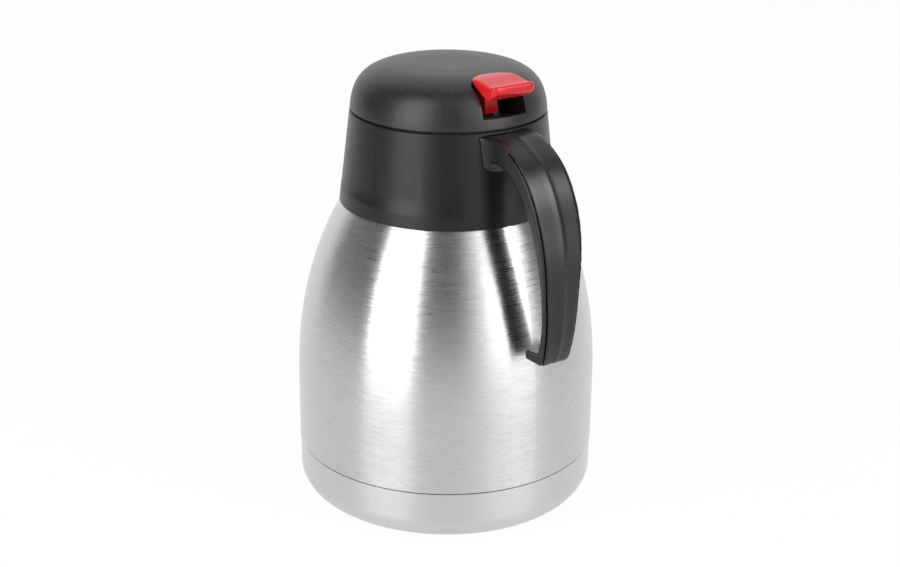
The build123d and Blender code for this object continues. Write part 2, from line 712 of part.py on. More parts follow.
def handle_screws():
    """Two screws, driven outwards through the collar wall into the handle's root."""
    screws = []
    for x, y in screw_seats():
        head_x = x - screw_head_t
        head = along_x(screw_head_r, head_x, x, y, screw_z)
        for half_y, half_z in ((cross_half_len, cross_half_w), (cross_half_w, cross_half_len)):
            head -= block(head_x - 1, head_x + cross_d, y - half_y, y + half_y,
                          screw_z - half_z, screw_z + half_z)
        shank = along_x(screw_r, x, x + screw_len - 1, y, screw_z)
        tip = Pos(x + screw_len - 0.5, y, screw_z) * Rot(0, 90, 0) * Cone(screw_r, 0.4 * screw_r, 1)
        screws.append((head + shank + tip).solid())
    return screws


# ---- lid --------------------------------------------------------------------------------------
def dome_skin(inset):
    """Half section of the dome, from its rim up to the axis."""
    low_z = dome_rim_z - dome_low
    width = dome_r - inset
    height = dome_h + dome_low - inset
    rim_t = math.asin((dome_low / height) ** (dome_power / 2))
    steps = [rim_t + (math.pi / 2 - rim_t) * k / 9 for k in range(9)]
    power = 2 / dome_power
    points = [(width * math.cos(t) ** power, low_z + height * math.sin(t) ** power) for t in steps]
    points.append((0, dome_top_z - inset))
    return Spline(*points, tangents=[(-0.08, 1), (-1, 0)]), points[0]


def lever_head_plan(grow):
    """Plan of the lever's head: a rounded back and straight sides; grow makes its recess."""
    half = lever_half_w + grow
    back = (lever_back_x - grow, 0)
    front = lever_front_x + (dome_r if grow else 0)
    corner = (lever_corner_x, half)
    other = (lever_corner_x, -half)
    sides = Polyline(other, (front, -half), (front, half), corner)
    plan = make_face([ThreePointArc(corner, back, other), sides])
    by_x = plan.vertices().sort_by(Axis.X)
    plan = fillet(by_x[:2], lever_back_round + grow)
    return fillet(plan.vertices().sort_by(Axis.X)[-2:], lever_nose_round)


def lever_well(keep):
    """Two walls beside the lever, between the dome and the deck."""
    half = lever_half_w + lever_play
    outer = half + well_wall
    walls = block(lever_back_x - well_wall, dome_r, -outer, outer, deck_top_z + snug, dome_top_z)
    return (walls - block(0, beyond, -half, half, 0, dome_top_z + 1)) & keep


def lid_dome():
    outside, rim_out = dome_skin(0)
    inside, rim_in = dome_skin(dome_t)
    floor_z = deck_top_z + snug
    body = spun([outside, inside, Line(rim_in, rim_out), Line((0, dome_top_z - dome_t), (0, dome_top_z))])
    skin = spun([outside, Polyline((0, dome_top_z), (0, dome_rim_z), rim_out)])
    keep = skin - rod(beyond, 0, dome_rim_z + 0.01)
    body += lever_well(keep)
    places = round_places(lid_screw_circle, lid_screw_deg)
    for x, y in places:
        body += rod(post_r, floor_z, dome_top_z, x, y) & keep
    for x, y in places:
        body -= rod(lid_screw_r + pin_fit, dome_rim_z - 1, deck_z + lid_screw_len + 1, x, y)
    body -= extrude(Pos(0, 0, slot_sill_z) * lever_head_plan(lever_play), 2 * dome_h)
    return body - rod(deck_r + fit, dome_rim_z - 1, floor_z)


def pivot_ears():
    """Two ears on the deck that carry the lever's pin."""
    inner = boss_half_w + fit
    half = ear_half_len
    foot_z = deck_top_z - 0.5
    top_z = pivot_z + half
    profile = Polyline(
        (pivot_x - half - 1.8, foot_z), (pivot_x + half + 1.8, foot_z), (pivot_x + half, pivot_z),
        (pivot_x + half, top_z), (pivot_x - half, top_z), (pivot_x - half, pivot_z), close=True)
    plate = slab(make_face(profile), inner + ear_t)
    plate -= block(0, beyond, -inner, inner, deck_top_z, top_z + 1)
    return plate - cross_rod(pivot_r + 0.01, pivot_x, pivot_z, inner + ear_t + 1)


def stopper_hull():
    """Turned body of the stopper: deck, hull, slim end, valve chamber and gland."""
    stub_in = stub_r - stopper_wall
    hull_in = stopper_r - stopper_wall
    step_z = stopper_step_z
    inner_step_z = step_z + stopper_wall
    low_z = base_plate_top_z + 0.01
    bore = stem_r + pin_fit
    oring_r = stem_r + fit + oring_w + 0.1
    oring_top_z = gland_z + oring_w + fit
    return turned([
        (bore, deck_top_z), (deck_r, deck_top_z), (deck_r, deck_z), (stopper_r, deck_z), (stopper_r, step_z),
        (stub_r, step_z), (stub_r, low_z), (stub_in, low_z), (stub_in, inner_step_z), (hull_in, inner_step_z),
        (hull_in, deck_z), (chamber_wall_r, deck_z), (chamber_wall_r, low_z), (chamber_r, low_z),
        (chamber_r, deck_z), (gland_r, deck_z), (gland_r, gland_z), (oring_r, gland_z),
        (oring_r, oring_top_z), (bore, oring_top_z)])


def stopper_body():
    half = duct_w / 2
    outer = half + duct_wall
    duct_top = duct_z + duct_h
    body = stopper_hull()
    duct_x0, duct_x1 = 0.5 - stopper_r, -chamber_r - 0.3
    body += block(duct_x0, duct_x1, -outer, outer, duct_z - duct_wall, duct_top + duct_wall)
    for start in thread_starts_deg():
        body += thread_rib(stopper_r - 0.6, ring_bore_r - fit - 0.1, thread_z, start, stopper_rib_deg)
    body -= block(-ring_bore_r - 1, 1.5 - chamber_r, -half, half, duct_z, duct_top)
    body += pivot_ears()
    for x, y in round_places(lid_screw_circle, lid_screw_deg):
        body -= rod(lid_screw_r + 0.2, deck_z - 1, deck_top_z + 1, x, y)
    return body


def stopper_base():
    """Plate that closes the stopper from below, with the valve port and its raised seat."""
    top = base_plate_top_z
    ring_r = port_r + port_wall
    return turned([
        (port_r, stopper_bottom_z), (stub_r - 1, stopper_bottom_z), (stub_r, stopper_bottom_z + 1),
        (stub_r, top), (ring_r, top), (ring_r, top + port_lip), (port_r, top + port_lip)])


def stopper_insulation():
    """Foam ring between the stopper's outer wall and its valve chamber."""
    foam_in = chamber_wall_r + snug
    stub_out = stub_r - stopper_wall - snug
    hull_out = stopper_r - stopper_wall - snug
    low_z = base_plate_top_z + snug
    step_z = stopper_step_z + stopper_wall + snug
    top_z = deck_z - snug
    ring = turned([
        (foam_in, low_z), (stub_out, low_z), (stub_out, step_z),
        (hull_out, step_z), (hull_out, top_z), (foam_in, top_z)])
    around = duct_wall + snug
    half = duct_w / 2 + around
    return ring - block(-stopper_r, 0, -half, half, duct_z - around, duct_z + duct_h + around)


def lid_screws():
    """Three screws up through the deck into the dome's posts."""
    low_z = deck_z - lid_screw_head_t
    screws = []
    for x, y in round_places(lid_screw_circle, lid_screw_deg):
        head = rod(lid_screw_head_r, low_z, deck_z, x, y)
        for half_x, half_y in ((1.6, 0.35), (0.35, 1.6)):
            head -= block(x - half_x, x + half_x, y - half_y, y + half_y, low_z - 1, low_z + 0.7)
        screws.append((head + rod(lid_screw_r, deck_z, deck_z + lid_screw_len, x, y)).solid())
    return screws


def lid_gasket():
    """Silicone ring under the stopper's step, closed on the neck ring's ledge."""
    low_z = ledge_top_z + fit
    top_z = stopper_step_z - fit
    inner = stub_r + fit
    edge_r = stopper_r - 0.7
    return turned([
        (inner, low_z), (edge_r, low_z), (stopper_r, (low_z + top_z) / 2), (edge_r, top_z), (inner, top_z)])


def stem_seal():
    middle_z = gland_z + fit / 2 + oring_w / 2
    return Pos(0, 0, middle_z) * Torus(stem_r + fit + oring_w / 2, oring_w / 2)


def gland_washer():
    return tube(stem_r + 0.2, gland_r, washer_z, gland_z)


def lever_pin():
    return cross_rod(pivot_r, pivot_x, pivot_z, boss_half_w + fit + ear_t)


# ---- thumb lever ------------------------------------------------------------------------------
def lever_head():
    """Flat head with a rounded back, a lip that turns up and a front face down to its chin."""
    back_x = lever_back_x - 1
    under_z = lever_top_z - lever_t
    drops = [(crease_in, crease_drop), (lip_in, lip_drop), (0, nose_drop), (brow_in, brow_drop),
             (chin_in, chin_drop)]
    crease, lip, nose, brow, chin = [(lever_front_x - dx, lever_top_z - dz) for dx, dz in drops]
    profile = make_face([
        Line((back_x, lever_top_z), (lever_corner_x, lever_top_z)),
        Spline((lever_corner_x, lever_top_z), crease, tangents=[(1, 0), (1, -0.05)]),
        Spline(crease, lip, tangents=[(1, 0.05), (1, 0.3)]),
        Spline(lip, nose, tangents=[(1, 0.25), (0, -1)]),
        Spline(nose, brow, chin, tangents=[(0, -1), (-1, -0.1)]),
        Polyline(chin, (chin[0] - 2, chin[1] + 0.2), (lever_corner_x, under_z),
                 (back_x, under_z), (back_x, lever_top_z))])
    plan = extrude(Pos(0, 0, deck_top_z) * lever_head_plan(0), 2 * dome_h)
    return slab(profile, 2 * lever_half_w) & plan


def lever_web():
    """Upright web between the head and the pin."""
    back_x = pivot_x - boss_r + 0.5
    front_x = lever_back_x + web_in
    chin_z = lever_top_z - chin_drop
    outline = Polyline(
        (back_x, pivot_z), (back_x + 2, pivot_z - 3), (front_x, deck_top_z + web_foot_h),
        (front_x, chin_z - 1.2), (lever_front_x - chin_in - 3, chin_z + 3),
        (lever_corner_x - 2, lever_top_z - 2), (lever_back_x + 1.5, lever_top_z - 2), close=True)
    return slab(make_face(outline), web_half_w)


def lever_arm():
    """Arm that runs back from the pin and ends in a fork round the valve stem."""
    side = stem_r + 0.6
    fork_x = pivot_x - boss_r
    low_z = pivot_z - boss_r
    top_z = pivot_z + boss_r
    arm = slab(make_face(Polyline(
        (0, pivot_z - nose_r), (pivot_x, pivot_z - 2.2), (pivot_x, pivot_z + 2.2),
        (0, pivot_z + nose_r), close=True)), fork_half_w)
    arm += cross_rod(nose_r, 0, pivot_z, fork_half_w)
    arm -= block(-2 * boss_r, fork_x - 6, -side, side, low_z, top_z)
    arm -= block(fork_x - 1.5, beyond, boss_half_w, beyond, low_z, top_z)
    return arm - block(fork_x - 1.5, beyond, -beyond, -boss_half_w, low_z, top_z)


def lever():
    boss = cross_rod(boss_r, pivot_x, pivot_z, boss_half_w)
    bore = cross_rod(pivot_r + pin_fit, pivot_x, pivot_z, 2 * boss_half_w)
    return lever_head() + lever_web() + lever_arm() + boss - bore


# ---- valve ------------------------------------------------------------------------------------
def valve_stem():
    foot_z = valve_seal_z - button_h
    return rod(stem_r, foot_z, nut_z + nut_h - nut_cap) + rod(button_r, foot_z, valve_seal_z)


def valve_seal():
    return tube(stem_r + snug, valve_seal_r, valve_seal_z, plug_z)


def valve_plug():
    bore = stem_r + snug
    hub_r = stem_r + plug_hub_wall
    top = plug_z + plug_t
    return turned([
        (bore, plug_z), (plug_r, plug_z), (plug_r, top), (hub_r, top),
        (hub_r, plug_top_z), (bore, plug_top_z)])


def stem_nut():
    """Round nut on the stem's top, which the lever's fork lifts."""
    return rod(nut_r, nut_z, nut_z + nut_h) - rod(stem_r + 0.02, nut_z - 1, nut_z + nut_h - nut_cap)


def valve_spring():
    """Coil spring round the stem, between the gland washer and the valve plug."""
    inset = spring_wire / 2 + spring_seat
    low = plug_z + plug_t + inset
    height = washer_z - inset - low
    path = Helix(height / spring_turns, height, spring_mean_r, center=(0, 0, low))
    section = Plane(origin=path @ 0, z_dir=path % 0) * Circle(spring_wire / 2)
    return sweep(section, path=path, is_frenet=True)


NODES = [
    outer_shell, inner_flask, base_cup, vacuum_base, getter, seal_bead,
    collar, rim_gasket, neck_ring, handle_body, handle_cover, handle_screws,
    lid_gasket, lid_dome, stopper_body, stopper_base, stopper_insulation, lid_screws,
    stem_seal, gland_washer, lever_pin, lever,
    valve_stem, valve_seal, valve_plug, stem_nut, valve_spring]

os.makedirs("parts", exist_ok=True)
for node in NODES:
    save(node.__name__, node())
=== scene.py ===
import json
import math

import bmesh
import bpy
from mathutils import Matrix, Vector


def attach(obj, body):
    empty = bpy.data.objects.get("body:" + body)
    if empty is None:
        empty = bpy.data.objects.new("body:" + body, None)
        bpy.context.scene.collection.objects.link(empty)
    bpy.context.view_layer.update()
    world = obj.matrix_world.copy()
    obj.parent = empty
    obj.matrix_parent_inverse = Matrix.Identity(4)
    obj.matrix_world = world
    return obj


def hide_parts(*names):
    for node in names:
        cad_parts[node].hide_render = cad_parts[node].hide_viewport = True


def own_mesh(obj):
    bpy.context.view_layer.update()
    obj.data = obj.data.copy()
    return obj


# Looks of the vacuum carafe: finishes of every CAD node, soft edges, floor, light and camera.
# Everything is in metres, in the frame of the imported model, unless it is said to be in mm.

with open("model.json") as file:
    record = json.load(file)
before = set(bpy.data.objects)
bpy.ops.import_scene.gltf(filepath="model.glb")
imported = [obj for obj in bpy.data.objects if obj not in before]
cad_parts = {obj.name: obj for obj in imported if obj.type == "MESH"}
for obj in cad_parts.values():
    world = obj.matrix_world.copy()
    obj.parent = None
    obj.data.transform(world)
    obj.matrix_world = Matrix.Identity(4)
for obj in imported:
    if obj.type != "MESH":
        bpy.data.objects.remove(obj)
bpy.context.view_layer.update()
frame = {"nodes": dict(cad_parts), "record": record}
nodes = frame["nodes"]

MM = 0.001

# ---- camera and studio ----------------------------------------------------------------------
IMAGE_W = 900             # the picture is 900 x 567
SENSOR = 36.0
FOCAL_PX = 1648.1         # focal length in pixels of that picture
CAM_DISTANCE = 0.7488     # from the carafe's axis, along the floor
CAM_HEIGHT = 0.3882
CAM_AZIMUTH = -35.0       # degrees from +X, seen from above
CAM_PITCH = 20.864        # degrees below the horizon
CAM_YAW = 0.123           # degrees to the right of the axis
CAM_ROLL = 0.62

FLOOR_R = 8.0
FLOOR_SIDES = 96
FLOOR_PAINT = 0.9         # lightness of the floor where it takes light and shade
FLOOR_WHITE = 0.94        # share of plain white in what the camera sees of the floor
FILL_LIGHT = 0.62         # strength of the light from all round
WALL_R = 1.6              # studio wall round the object, seen only in reflections
WALL_TOP = 2.4


def around(azimuth, distance, height):
    """Point at an azimuth in degrees from +X, a distance from the axis and a height."""
    a = math.radians(azimuth)
    return Vector((distance * math.cos(a), distance * math.sin(a), height))


def make_camera():
    """Camera at the photograph's place and angle."""
    data = bpy.data.cameras.new("camera")
    data.sensor_width = SENSOR
    data.lens = FOCAL_PX * SENSOR / IMAGE_W
    camera = bpy.data.objects.new("camera", data)
    bpy.context.scene.collection.objects.link(camera)
    heading = math.radians(CAM_AZIMUTH + 180 - CAM_YAW)
    pitch, roll = math.radians(CAM_PITCH), math.radians(CAM_ROLL)
    across = math.cos(pitch)
    forward = Vector((math.cos(heading) * across, math.sin(heading) * across, -math.sin(pitch)))
    level = Vector((math.sin(heading), -math.cos(heading), 0))
    above = level.cross(forward)
    right = level * math.cos(roll) + above * math.sin(roll)
    up = above * math.cos(roll) - level * math.sin(roll)
    turn = Matrix((right, up, -forward)).transposed().to_4x4()
    camera.matrix_world = Matrix.Translation(around(CAM_AZIMUTH, CAM_DISTANCE, CAM_HEIGHT)) @ turn
    bpy.context.scene.camera = camera


def link_mesh(name, verts, faces):
    """New object in the scene with this mesh."""
    mesh = bpy.data.meshes.new(name)
    mesh.from_pydata(verts, [], faces)
    obj = bpy.data.objects.new(name, mesh)
    bpy.context.scene.collection.objects.link(obj)
    return obj


def ray_seen(tree):
    """1 for rays from the camera, a gloss or a glass, 0 for the rest."""
    path = tree.nodes.new("ShaderNodeLightPath")
    seen = path.outputs["Is Camera Ray"]
    for kind in ("Is Glossy Ray", "Is Transmission Ray"):
        either = tree.nodes.new("ShaderNodeMath")
        either.operation = "MAXIMUM"
        tree.links.new(seen, either.inputs[0])
        tree.links.new(path.outputs[kind], either.inputs[1])
        seen = either.outputs[0]
    return seen


def bare_material(name):
    """Material with an empty node tree."""
    mat = bpy.data.materials.new(name)
    mat.use_nodes = True
    mat.node_tree.nodes.clear()
    return mat


def make_world():
    """White where it is seen, and a plain soft fill for the rest."""
    world = bpy.data.worlds.new("studio")
    bpy.context.scene.world = world
    world.use_nodes = True
    tree = world.node_tree
    tree.nodes.clear()
    out = tree.nodes.new("ShaderNodeOutputWorld")
    mix = tree.nodes.new("ShaderNodeMixShader")
    fill = tree.nodes.new("ShaderNodeBackground")
    white = tree.nodes.new("ShaderNodeBackground")
    fill.inputs["Strength"].default_value = FILL_LIGHT
    fill.inputs["Color"].default_value = (1, 1, 1, 1)
    white.inputs["Strength"].default_value = 1.0
    white.inputs["Color"].default_value = (1, 1, 1, 1)
    tree.links.new(ray_seen(tree), mix.inputs[0])
    tree.links.new(fill.outputs[0], mix.inputs[1])
    tree.links.new(white.outputs[0], mix.inputs[2])
    tree.links.new(mix.outputs[0], out.inputs["Surface"])


def make_floor():
    """Plain pale floor, white to the camera except where the object shades it."""
    rim = [around(360 * k / FLOOR_SIDES, FLOOR_R, 0) for k in range(FLOOR_SIDES)]
    floor = link_mesh("floor", rim, [tuple(range(FLOOR_SIDES))])
    mat = bare_material("floor")
    tree = mat.node_tree
    out = tree.nodes.new("ShaderNodeOutputMaterial")
    mix = tree.nodes.new("ShaderNodeMixShader")
    paint = tree.nodes.new("ShaderNodeBsdfDiffuse")
    glow = tree.nodes.new("ShaderNodeEmission")
    share = tree.nodes.new("ShaderNodeMath")
    paint.inputs["Color"].default_value = (FLOOR_PAINT, FLOOR_PAINT, FLOOR_PAINT, 1)
    glow.inputs["Color"].default_value = (1, 1, 1, 1)
    share.operation = "MULTIPLY"
    share.inputs[1].default_value = FLOOR_WHITE
    tree.links.new(ray_seen(tree), share.inputs[0])
    tree.links.new(share.outputs[0], mix.inputs[0])
    tree.links.new(paint.outputs[0], mix.inputs[1])
    tree.links.new(glow.outputs[0], mix.inputs[2])
    tree.links.new(mix.outputs[0], out.inputs["Surface"])
    floor.data.materials.append(mat)


# Brightness of the studio wall by angle from the camera, to the right. It has two soft boxes and a dark
# room between them.
WALL_TONES = [
    (-134, 1.0), (-124, 0.75), (-116, 0.35), (-108, 0.16), (-96, 0.19), (-90, 0.13), (-82, 0.16), (-74, 0.1),
    (-63, 0.12), (-59, 5.4), (-27, 5.4), (-23, 1.0), (-18, 0.15), (0, 0.12), (10, 0.18), (18, 0.5), (26, 1.2),
    (34, 2.5), (50, 4.1), (66, 4.1), (71, 1.6), (75, 0.2), (88, 0.12), (104, 0.2), (116, 0.35), (126, 0.75),
    (134, 1.0)]
# A second soft box hangs above the right one and reaches further round.
HIGH_BOX = [(36, 0), (46, 5.0), (60, 11.0), (70, 9.5), (78, 7.0), (84, 4.5), (90, 0.5), (94, 0)]
# Rows of the wall: height, share of that box, and how bright the row is beside the lowest.
WALL_ROWS = [
    (0.0, 0, 1.0), (0.5, 0, 0.8), (0.92, 0, 0.8), (1.12, 1, 0.8), (1.85, 1, 0.8), (2.05, 0, 0.8),
    (WALL_TOP, 0, 0.8)]
CEILING = [(WALL_R, WALL_TOP), (0.9, 2.7), (0.05, 2.8)]     # radius and height of its rings
CEILING_TONE = 0.3
WALL_STEPS = 2            # faces of the wall per degree
CEILING_DIM = 100         # the ceiling is dim up to this angle from the camera, and white where the wall ends
# Lamps: name, angle from the camera to the right, power.
LAMPS = [("soft_box_left", -46, 16), ("soft_box_right", 46, 12)]
LAMP_DISTANCE = 1.5
LAMP_HEIGHT = 1.1
LAMP_SIZE = 1.2
LAMP_AIM = 0.1            # height of the point that the lamps look at


def ceiling_tone(angle):
    """Dim ceiling that grows light towards the white backdrop."""
    fade = WALL_TONES[-1][0] - CEILING_DIM
    return CEILING_TONE + (1 - CEILING_TONE) * max(0, abs(angle) - CEILING_DIM) / fade


def read_tone(table, angle, beyond):
    """Tone at an angle, between the two nearest entries of the table."""
    for (a0, t0), (a1, t1) in zip(table, table[1:]):
        if a0 <= angle <= a1:
            return t0 + (t1 - t0) * (angle - a0) / (a1 - a0)
    return beyond


def wall_tone(angle, share, dim):
    """Tone of the wall in a row, with this share of the high soft box and its own boxes this dim."""
    tone = read_tone(WALL_TONES, angle, 1.0)
    return max(tone * dim if tone > 1 else tone, share * read_tone(HIGH_BOX, angle, 0))


def make_wall():
    """Curved studio wall and dim ceiling that only show in glossy reflections."""
    first, last = WALL_TONES[0][0], WALL_TONES[-1][0]
    count = WALL_STEPS * (last - first)
    angles = [first + (last - first) * k / count for k in range(count + 1)]
    n = len(angles)
    rings = [(WALL_R, z) for z, _, _ in WALL_ROWS] + CEILING
    tones = [[wall_tone(a, share, dim) for a in angles] for _, share, dim in WALL_ROWS]
    tones += [[ceiling_tone(a) for a in angles] for _ in CEILING]
    verts = [around(CAM_AZIMUTH + a, r, z) for r, z in rings for a in angles]
    faces = [(row * n + k, row * n + k + 1, (row + 1) * n + k + 1, (row + 1) * n + k)
             for row in range(len(rings) - 1) if row != len(WALL_ROWS) - 1 for k in range(n - 1)]
    wall = link_mesh("studio_wall", verts, faces)
    tone = wall.data.attributes.new("tone", "FLOAT", "POINT")
    for row, values in enumerate(tones):
        for k, value in enumerate(values):
            tone.data[row * n + k].value = value
    mat = bare_material("studio_wall")
    tree = mat.node_tree
    out = tree.nodes.new("ShaderNodeOutputMaterial")
    glow = tree.nodes.new("ShaderNodeEmission")
    attribute = tree.nodes.new("ShaderNodeAttribute")
    attribute.attribute_name = "tone"
    tree.links.new(attribute.outputs["Fac"], glow.inputs["Strength"])
    tree.links.new(glow.outputs[0], out.inputs["Surface"])
    wall.data.materials.append(mat)
    for kind in ("camera", "diffuse", "shadow", "transmission"):
        setattr(wall, "visible_" + kind, False)


def make_lamp(name, azimuth, power):
    """Soft box that points at the middle of the carafe."""
    data = bpy.data.lights.new(name, "AREA")
    data.shape = "RECTANGLE"
    data.size, data.size_y = LAMP_SIZE, LAMP_SIZE
    data.energy = power
    lamp = bpy.data.objects.new(name, data)
    bpy.context.scene.collection.objects.link(lamp)
    place = around(CAM_AZIMUTH + azimuth, LAMP_DISTANCE, LAMP_HEIGHT)
    aim = Vector((0, 0, LAMP_AIM)) - place
    lamp.matrix_world = Matrix.Translation(place) @ aim.to_track_quat("-Z", "Y").to_matrix().to_4x4()
    lamp.visible_glossy = False


# ---- materials ------------------------------------------------------------------------------
NOISE_LOW, NOISE_HIGH = 0.3, 0.7      # the part of a noise's range that is used
# Brushed rings: features per metre along X, Y and Z of the three noises.
RINGS_TILT_UP = (90, 90, 2400)
RINGS_TILT_SIDE = (130, 130, 2200)
RINGS_ROUGH = (100, 100, 2600)
RING_DETAIL = 1.0
QUARTER_TURN = 0.25       # turns the stretched highlight so that it runs across the rings
SIDE_SHARE = 0.6          # sideways tilt of a ring beside its tilt up or down
RING_DEPTH = 0.0004       # in mm
GRAIN_DETAIL = 2.0
GRAIN_ROUGH = 0.6


class Finish:
    """Small helper that builds one node material round a Principled shader."""

    def __init__(self, name, colour, **values):
        self.colour = colour
        self.mat = bpy.data.materials.new(name)
        self.mat.use_nodes = True
        self.tree = self.mat.node_tree
        self.bsdf = self.tree.nodes["Principled BSDF"]
        self.bsdf.inputs["Base Color"].default_value = (*colour, 1)
        for key, value in values.items():
            self.bsdf.inputs[key.replace("_", " ")].default_value = value
        self.coords = self.tree.nodes.new("ShaderNodeTexCoord")

    def link(self, output, socket):
        """Connect an output to an input."""
        self.tree.links.new(output, socket)

    def vector_math(self, operation, first, second, into=1):
        """Vector operation on two sources."""
        node = self.tree.nodes.new("ShaderNodeVectorMath")
        node.operation = operation
        self.link(first, node.inputs[0])
        if second is not None:
            self.link(second, node.inputs[into])
        return node.outputs[0]

    def noise(self, scale, stretch=(1, 1, 1), detail=2.0, rough=0.5):
        """Noise over the object, finer along an axis by its stretch; scale is in features per metre."""
        mapping = self.tree.nodes.new("ShaderNodeMapping")
        mapping.inputs["Scale"].default_value = stretch
        self.link(self.coords.outputs["Object"], mapping.inputs["Vector"])
        node = self.tree.nodes.new("ShaderNodeTexNoise")
        node.inputs["Scale"].default_value = scale
        node.inputs["Detail"].default_value = detail
        node.inputs["Roughness"].default_value = rough
        self.link(mapping.outputs[0], node.inputs["Vector"])
        return node.outputs["Fac"]

    def spread(self, source, low, high):
        """A noise mapped onto low..high."""
        node = self.tree.nodes.new("ShaderNodeMapRange")
        node.inputs["From Min"].default_value = NOISE_LOW
        node.inputs["From Max"].default_value = NOISE_HIGH
        node.inputs["To Min"].default_value = low
        node.inputs["To Max"].default_value = high
        self.link(source, node.inputs["Value"])
        return node.outputs[0]

    def vary_colour(self, source, share):
        """Colour that a noise makes darker and lighter by this share."""
        node = self.tree.nodes.new("ShaderNodeMix")
        node.data_type = "RGBA"
        for socket, times in ((6, 1 - share), (7, 1 + share)):
            node.inputs[socket].default_value = (*[c * times for c in self.colour], 1)
        self.link(self.spread(source, 0.0, 1.0), node.inputs[0])
        self.link(node.outputs[2], self.bsdf.inputs["Base Color"])

    def vary_roughness(self, source, rough, uneven):
        """Roughness that a noise moves up and down by uneven."""
        self.link(self.spread(source, rough - uneven, rough + uneven), self.bsdf.inputs["Roughness"])

    def bump(self, height, distance, normal=None):
        """Fine relief, on top of a normal when one is given."""
        node = self.tree.nodes.new("ShaderNodeBump")
        node.inputs["Strength"].default_value = 1.0
        node.inputs["Distance"].default_value = distance
        self.link(height, node.inputs["Height"])
        if normal is not None:
            self.link(normal, node.inputs["Normal"])
        self.link(node.outputs[0], self.bsdf.inputs["Normal"])


def brushed(name, colour, rough, anisotropy, streak, tilt, uneven=0.015):
    """Steel brushed round Z: fine rings that blur what it reflects up and down."""
    f = Finish(name, colour, Metallic=1.0, Roughness=rough, Anisotropic=anisotropy)
    f.bsdf.inputs["Anisotropic Rotation"].default_value = QUARTER_TURN
    tangent = f.tree.nodes.new("ShaderNodeTangent")
    tangent.direction_type = "RADIAL"
    tangent.axis = "Z"
    f.link(tangent.outputs[0], f.bsdf.inputs["Tangent"])
    up_noise = f.noise(1.0, RINGS_TILT_UP, detail=RING_DETAIL)
    side_noise = f.noise(1.0, RINGS_TILT_SIDE, detail=RING_DETAIL)
    rough_noise = f.noise(1.0, RINGS_ROUGH, detail=RING_DETAIL)
    f.vary_colour(up_noise, streak)
    f.vary_roughness(rough_noise, rough, uneven)
    # each ring tips the surface a little up or down, and sideways, which frays the edges of reflections
    geometry = f.tree.nodes.new("ShaderNodeNewGeometry")
    up = f.tree.nodes.new("ShaderNodeCombineXYZ")
    f.link(f.spread(up_noise, -tilt, tilt), up.inputs["Z"])
    sway = f.spread(side_noise, -SIDE_SHARE * tilt, SIDE_SHARE * tilt)
    side = f.vector_math("SCALE", tangent.outputs[0], sway, "Scale")
    tipped = f.vector_math("ADD", geometry.outputs["Normal"], up.outputs[0])
    tipped = f.vector_math("ADD", tipped, side)
    f.bump(up_noise, RING_DEPTH * MM, f.vector_math("NORMALIZE", tipped, None))
    return f.mat


def plastic(name, colour, rough, grain, grain_scale, uneven=0.05, mottle=0.12, **values):
    """Moulded plastic with a fine grain, which is so many mm deep."""
    f = Finish(name, colour, Roughness=rough, **values)
    fine = f.noise(grain_scale, detail=GRAIN_DETAIL, rough=GRAIN_ROUGH)
    f.vary_colour(fine, mottle)
    f.vary_roughness(fine, rough, uneven)
    f.bump(fine, grain * MM)
    return f.mat


def make_finishes():
    """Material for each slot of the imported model, and for pieces that wear another one."""
    return {
        "brushed_steel": brushed("brushed_steel", (0.57, 0.57, 0.58), 0.30, 0.88, 0.03, 0.022, 0.045),
        "satin_steel": brushed("satin_steel", (0.58, 0.58, 0.59), 0.30, 0.8, 0.008, 0.01),
        "liner_steel": brushed("liner_steel", (0.6, 0.6, 0.6), 0.25, 0.3, 0.02, 0.01),
        "screw_steel": brushed("screw_steel", (0.55, 0.55, 0.56), 0.3, 0.2, 0.02, 0.01),
        # painted shade: a dark steel for the vacuum base behind the seam, so that the gap of the seam reads
        # dark
        "seam_shade_steel": brushed("seam_shade_steel", (0.12, 0.12, 0.12), 0.6, 0.0, 0.02, 0.0),
        "solder": plastic("solder", (0.45, 0.45, 0.44), 0.45, 0.02, 900, Metallic=1.0),
        "black_plastic": plastic(
            "black_plastic", (0.008, 0.008, 0.0085), 0.34, 0.008, 1200, 0.02, Specular_IOR_Level=0.32),
        "handle_plastic": plastic(
            "handle_plastic", (0.005, 0.005, 0.0053), 0.33, 0.03, 1600, 0.03, Specular_IOR_Level=0.46),
        "dome_plastic": plastic(
            "dome_plastic", (0.009, 0.009, 0.0095), 0.37, 0.1, 1300, 0.06, 0.85, Specular_IOR_Level=0.5),
        "grey_plastic": plastic("grey_plastic", (0.05, 0.05, 0.052), 0.45, 0.02, 1800),
        "silicone": plastic("silicone", (0.55, 0.55, 0.52), 0.5, 0.01, 900),
        "foam": plastic("foam", (0.7, 0.68, 0.6), 0.9, 0.15, 700),
        "red_plastic": plastic("red_plastic", (0.62, 0.010, 0.016), 0.2, 0.005, 500, Specular_IOR_Level=0.34),
    }


# ---- rounded edges --------------------------------------------------------------------------
# Radius of the moulded edges of each piece, in mm, and the least angle of an edge that is rounded.
ROUNDED = {
    "lid_dome": (0.35, 30),
    "collar": (0.3, 30),
}
